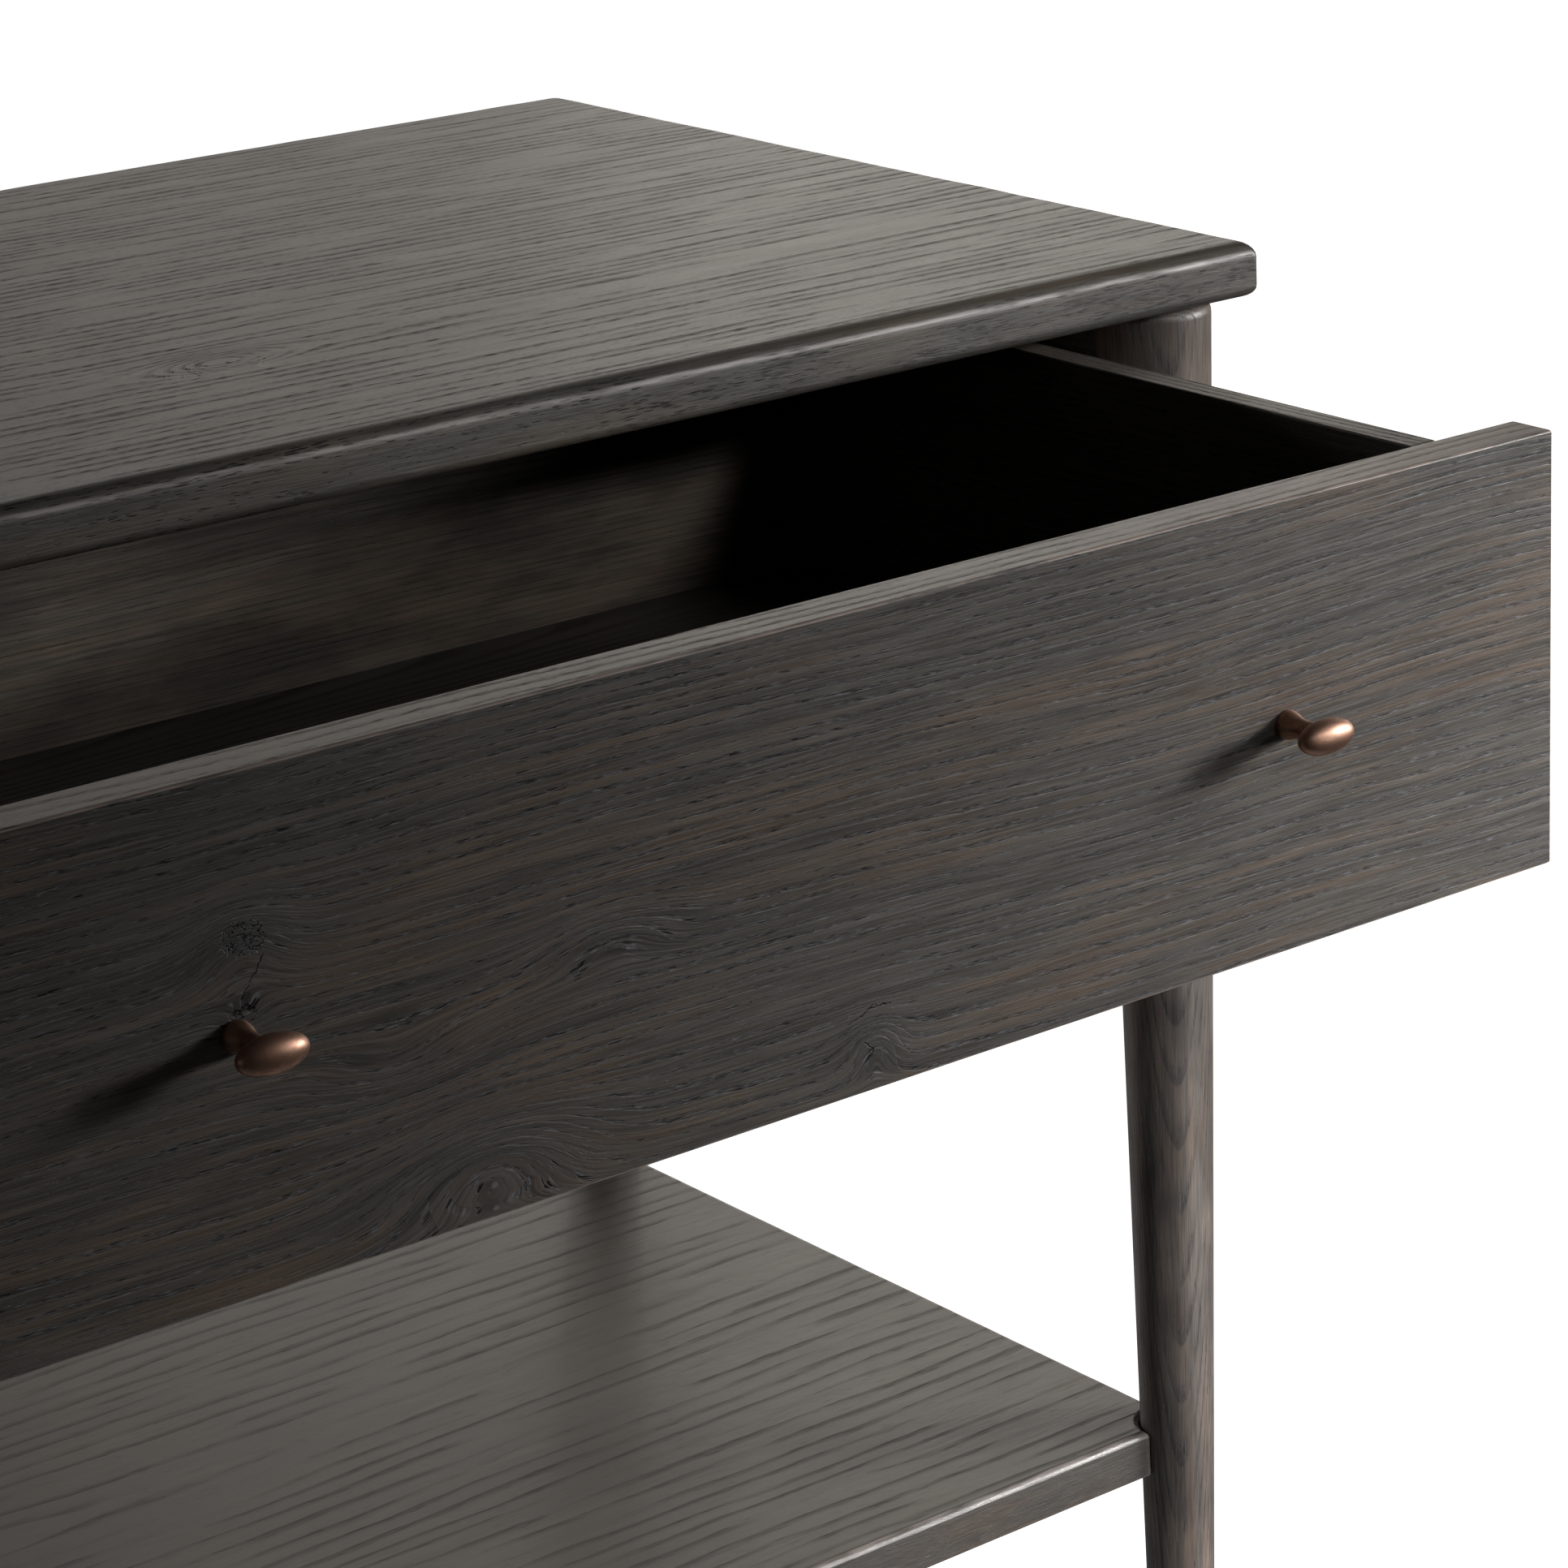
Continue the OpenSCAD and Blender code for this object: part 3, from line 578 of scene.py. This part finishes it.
def moulded(name, colour, roughness, size=(0.5, 0.5, 0.5), relief=0.05):
    """Moulded nylon or pressed felt: a fine even grain and faint clouds."""
    material = bpy.data.materials.new(name)
    g = Graph(material)
    place = world_mm(g)
    grain = g.noise(g.scaled(place, size), 4.0, 0.7)
    cloud = g.noise(g.scaled(place, (12, 12, 12)), 2.0)
    lighter = g.ramp(g.math("MULTIPLY", g.math("ADD", grain, cloud), 0.5), 0.35, 0.65)
    tone = g.mix(lighter, opaque(colour), opaque(colour, (1.5, 1.5, 1.5)))
    rough = g.ramp(grain, 0.3, 0.7, roughness - 0.05, roughness + 0.05)
    g.finish(Base_Color=tone, Roughness=rough, Normal=g.bump(grain, relief * MM))
    return material


def dressed(piece, material):
    """Gives a piece one material on every slot."""
    if not piece.material_slots:
        piece.data.materials.append(material)
    for s in piece.material_slots:
        s.material = material
    return piece


def put(piece, body, node, material):
    """Dresses a new piece, rides it on its body and lets it stand for its CAD node."""
    dressed(piece, material)
    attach(piece, body)
    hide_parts(node)


slot_of = {part["node"]: part["material_slot"] for part in frame["record"]["subparts"]}

# ---------------------------------------------------------------- the wooden pieces

top_material = oak(
    "oak_top", "x", "z", offset=(310, 90, 40), pith=(4, -754), tilt=0.01, ring=6.5, wander=12, ripple=3.0,
    line=0.75, late=(0.050, 0.045, 0.038), early=(0.026, 0.025, 0.023), early_share=0.42, calm=0.0,
    contrast=0.30, clouds=0.07, flecks=0.1, pore_size=(7.0, 0.6), plain_end=(-50, 300), roughness=0.40,
    # Its light line at the foot of the upper roundover is a painted highlight
    knots=((2, 6, 22, 13, -30.0),), wear=(0.20, 0.18, 0.17), foot_only=True,
)
put(board("top_board", "table_top", TOP_LOWER_R, TOP_UPPER_R, TOP_CORNER_R),
    "table", "table_top", top_material)

leg_material = oak(
    "oak_leg", "z", "y", offset=(0, 350, 0), pith=(371, 67), tilt=-0.035, ring=1.25, wander=3, ripple=0.9,
    line=0.55, late=(0.080, 0.067, 0.059), early=(0.026, 0.026, 0.030), early_share=0.48, calm=0.1,
    contrast=0.32, clouds=0.28, flecks=0.1, pore_size=(5.0, 0.3), pore_share=0.45,
)
for name in ("leg_front_left", "leg_front_right", "leg_rear_left", "leg_rear_right"):
    put(turned_leg("turned_" + name, name), "table", name, leg_material)

shelf_low, shelf_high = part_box("shelf")
leg_low, leg_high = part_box("leg_front_right")
leg_centre = (leg_low + leg_high) / 2
shelf_centre = (shelf_low + shelf_high) / 2
leg_at = Vector((leg_centre.x - shelf_centre.x, shelf_centre.y - leg_centre.y))
leg_r = LEG_FOOT_R + ((leg_high.x - leg_low.x) / 2 - LEG_FOOT_R) * shelf_high.z / leg_high.z
shelf_material = oak(
    "oak_shelf", "x", "z", offset=(90, 700, 10), pith=(150, -262), ring=10.5, wander=22, ripple=5.5,
    line=0.5, late=(0.037, 0.032, 0.028), early=(0.016, 0.015, 0.014), early_share=0.42, calm=0.0,
    contrast=0.16, clouds=0.06, flecks=0.0, pore_size=(16.0, 1.3), pore_share=0.2, roughness=0.36,
    # Its light arrises are partly wear, partly a painted highlight
    wear=(0.16, 0.14, 0.13),
)
put(board("shelf_board", "shelf", ARRIS, SHELF_UPPER_R, ARRIS, shelf_outline(leg_at, leg_r + NOTCH_PLAY)),
    "table", "shelf", shelf_material)

# Two cracked knots, one above the left knob and one near the lower edge, and the swirls round them
front_material = oak(
    "oak_front", "x", "y", offset=(500, 0, 300), pith=(420, 520), tilt=0.02, ring=3.2, wander=14, ripple=2.6,
    late=(0.071, 0.063, 0.055), tint=(1.22, 1.0, 0.86), early_share=0.5, contrast=0.38, flecks=0.8,
    # Its light arrises are partly wear, partly a painted highlight, and its top edge takes a painted
    # highlight
    pore_size=(5.5, 0.34), plain_end=(-50, 250), relief=0.2, wear=(0.30, 0.24, 0.21), worn_top=0.4,
    knots=((-195, 684, 16, 13, -11.0), (-197, 664, 8, 5, 4.0), (-120, 596, 34, 15, -22.0),
           (-150, 636, 30, 10, 9.0), (-73, 655, 26, 9, -9.0), (24, 593, 10, 9, -10.0)),
    cracks=((0.5, (-189, 680), (-191, 676), (-194, 673)), (0.5, (-194, 672), (-197, 669)),
            (0.6, (20, 596), (23, 593), (20, 589)), (0.35, (14, 603), (24, 607), (31, 606))),
    crazed=((-195, 686, 8, 6), (-197, 664, 5, 3)),
)
put(board("drawer_front_board", "drawer_front", ARRIS, ARRIS, ARRIS),
    "drawer", "drawer_front", front_material)

side_material = oak(
    "oak_box", "y", "x", offset=(0, 40, 80), pith=(400, 0), tilt=0.02,
    late=(0.070, 0.060, 0.050), early=(0.040, 0.035, 0.031),
)
for name in ("drawer_side_left", "drawer_side_right"):
    put(board(name + "_board", name, SIDE_LOWER_R, SIDE_UPPER_R, SIDE_CORNER_R),
        "drawer", name, side_material)

# ---------------------------------------------------------------- the knobs

bronze_material = bronze("antique_bronze")
for name in ("knob_left", "knob_right"):
    put(cast_knob("cast_" + name, name), "drawer", name, bronze_material)

# ---------------------------------------------------------------- CAD pieces that stay as they are

plain = {
    "oak_box": side_material,
    "beech": oak("beech", "y", "x", offset=(50, 20, 10), pith=(400, 0), late=(0.50, 0.34, 0.21),
                 early=(0.42, 0.27, 0.16), pore=(0.30, 0.17, 0.09), relief=0.05),
    "zinc_steel": brushed_metal("zinc_steel", (0.56, 0.57, 0.59), 0.32, grain=(0.4, 60, 0.4)),
    "screw_steel": brushed_metal("screw_steel", (0.50, 0.50, 0.50), 0.35, grain=(1.5, 1.5, 1.5)),
    "ball_steel": brushed_metal("ball_steel", (0.62, 0.62, 0.64), 0.15, dirt=0.1),
    "black_steel": brushed_metal("black_steel", (0.030, 0.030, 0.032), 0.45, metallic=0.0),
    "nylon": moulded("nylon", (0.030, 0.028, 0.026), 0.5),
    "felt": moulded("felt", (0.085, 0.078, 0.070), 0.95, size=(0.25, 0.25, 0.25), relief=0.3),
}
apron_side = oak("oak_apron_side", "y", "x", offset=(10, 140, 200), pith=(400, 0))
apron_back = oak("oak_apron_back", "x", "y", offset=(20, 440, 100), pith=(500, 0))
# A little darker than the drawer's sides: painted shade inside the drawer
drawer_back_shaded_wood = oak(
    "oak_drawer_back_shaded", "x", "y", offset=(70, 240, 30), pith=(700, -55), late=(0.060, 0.049, 0.038),
    early=(0.036, 0.030, 0.025), early_share=0.4, clouds=0.35, flecks=0.0, pore_share=0.35,
)
# Much darker than the drawer's other oak: painted shade on the drawer's bottom
drawer_bottom_shaded_wood = oak(
    "oak_drawer_bottom_shaded", "x", "z", offset=(130, 20, 400), pith=(40, -570), late=(0.024, 0.020, 0.016),
    early=(0.014, 0.012, 0.010), early_share=0.4, clouds=0.35, flecks=0.0, pore_share=0.35,
)
own = {
    "side_apron_left": apron_side, "side_apron_right": apron_side, "back_apron": apron_back,
    "front_rail": apron_back, "drawer_back": drawer_back_shaded_wood, "drawer_bottom": drawer_bottom_shaded_wood,
}
for name, node in frame["nodes"].items():
    if not node.hide_render:
        dressed(node, own.get(name) or plain[slot_of[name]])

# ---------------------------------------------------------------- studio

def plane(name, half, z):
    """A level square, half wide to each side of the origin."""
    bm = bmesh.new()
    corners = [bm.verts.new((sx * half, sy * half, z)) for sx, sy in ((-1, -1), (1, -1), (1, 1), (-1, 1))]
    bm.faces.new(corners)
    return make_object(name, bm)


def stage_material(name, level, glow, far_glow):
    """A matt grey floor that may glow a little, and more where it is far from the table."""
    material = bpy.data.materials.new(name)
    g = Graph(material)
    place = g.node("TexCoord").outputs["Object"]
    far = g.node("VectorMath", {0: place}, operation="LENGTH").outputs["Value"]
    glowing = g.ramp(far, 0.45, 1.0, glow, far_glow)
    g.finish(Base_Color=opaque((level, level, level)), Roughness=0.9, Emission_Color=opaque((1, 1, 1)),
             Emission_Strength=glowing)
    return material


# The camera sees a glowing white floor; what bounces light on the table is a greyer one just under it
floor = dressed(plane("floor", 40, 0.0), stage_material("pale_floor", 0.8, 0.9, 1.02))
floor.visible_diffuse = False
floor.visible_glossy = False
floor.visible_shadow = False
bounce = dressed(plane("floor_bounce", 3, -0.002), stage_material("bounce_floor", 0.35, 0.0, 0.0))
bounce.visible_camera = False

world = bpy.data.worlds.new("studio")
bpy.context.scene.world = world
world.use_nodes = True
background = world.node_tree.nodes["Background"]
background.inputs["Color"].default_value = (1, 1, 1, 1)
background.inputs["Strength"].default_value = 0.02


def softbox(name, azimuth, elevation, distance, width, height, power, target, spread=180, colour=(1, 1, 1)):
    """An area light that looks at target, with a grid that narrows its beam to spread.

    Angles are in degrees: azimuth 0 is in front of the table, 90 at its right.
    """
    turn = math.radians(azimuth)
    rise = math.radians(elevation)
    away = Vector((math.sin(turn) * math.cos(rise), -math.cos(turn) * math.cos(rise), math.sin(rise)))
    light = bpy.data.lights.new(name, "AREA")
    light.shape = "RECTANGLE"
    light.size = width
    light.size_y = height
    light.energy = power
    light.spread = math.radians(spread)
    light.color = colour
    lamp = bpy.data.objects.new(name, light)
    lamp.location = Vector(target) + away * distance
    lamp.rotation_mode = "QUATERNION"
    lamp.rotation_quaternion = (-away).to_track_quat("-Z", "Y")
    lamp.visible_camera = False
    bpy.context.scene.collection.objects.link(lamp)


WALL_TINT = (1.0, 0.95, 0.87)
MIDDLE = (0.1, -0.1, 0.55)  # of the table with its drawer open
softbox("key_right", 58, 22, 1.3, 0.6, 0.25, 3.6, (0.55, -0.33, 0.50), spread=45)
softbox("key_front", 46, 22, 1.6, 0.7, 0.3, 0.94, (0.50, -0.33, 0.45), spread=45)
softbox("into_drawer", 14, 22, 3.0, 0.5, 0.5, 0.34, (0.22, 0.08, 0.83), spread=12)
softbox("on_legs", 20, 3, 2.5, 0.4, 0.4, 1.1, (0.38, -0.09, 0.22), spread=20)
softbox("fill_left", -75, 6, 2.5, 0.3, 0.5, 0.03, (0.37, -0.10, 0.30), spread=10)
softbox("behind", 188, 10, 3.0, 1.2, 1.2, 5.0, (0.0, 0.2, 0.5), spread=50)
softbox("wall_right", 138, 16, 4.0, 1.0, 2.2, 13.0, MIDDLE, colour=WALL_TINT)
softbox("wall_left", 152, 16, 4.0, 1.0, 2.2, 6.2, MIDDLE, colour=WALL_TINT)

# ---------------------------------------------------------------- camera

def add_camera():
    """The scene's camera, from its place, turn, tip and roll."""
    turn, tip, roll = (math.radians(v) for v in (CAMERA_TURN, CAMERA_TIP, CAMERA_ROLL))
    forward = Vector((math.sin(turn) * math.cos(tip), math.cos(turn) * math.cos(tip), -math.sin(tip)))
    level = Vector((math.cos(turn), -math.sin(turn), 0))
    up = level.cross(forward)
    right = level * math.cos(roll) + up * math.sin(roll)
    true_up = up * math.cos(roll) - level * math.sin(roll)
    data = bpy.data.cameras.new("camera")
    data.lens = CAMERA_LENS
    data.sensor_width = 36
    data.shift_x = CAMERA_SHIFT
    data.clip_start = 0.05
    data.clip_end = 100
    camera = bpy.data.objects.new("camera", data)
    camera.matrix_world = Matrix((right, true_up, -forward)).transposed().to_4x4()
    camera.location = CAMERA_AT
    bpy.context.scene.collection.objects.link(camera)
    bpy.context.scene.camera = camera


add_camera()
bpy.context.scene.view_settings.view_transform = "Standard"
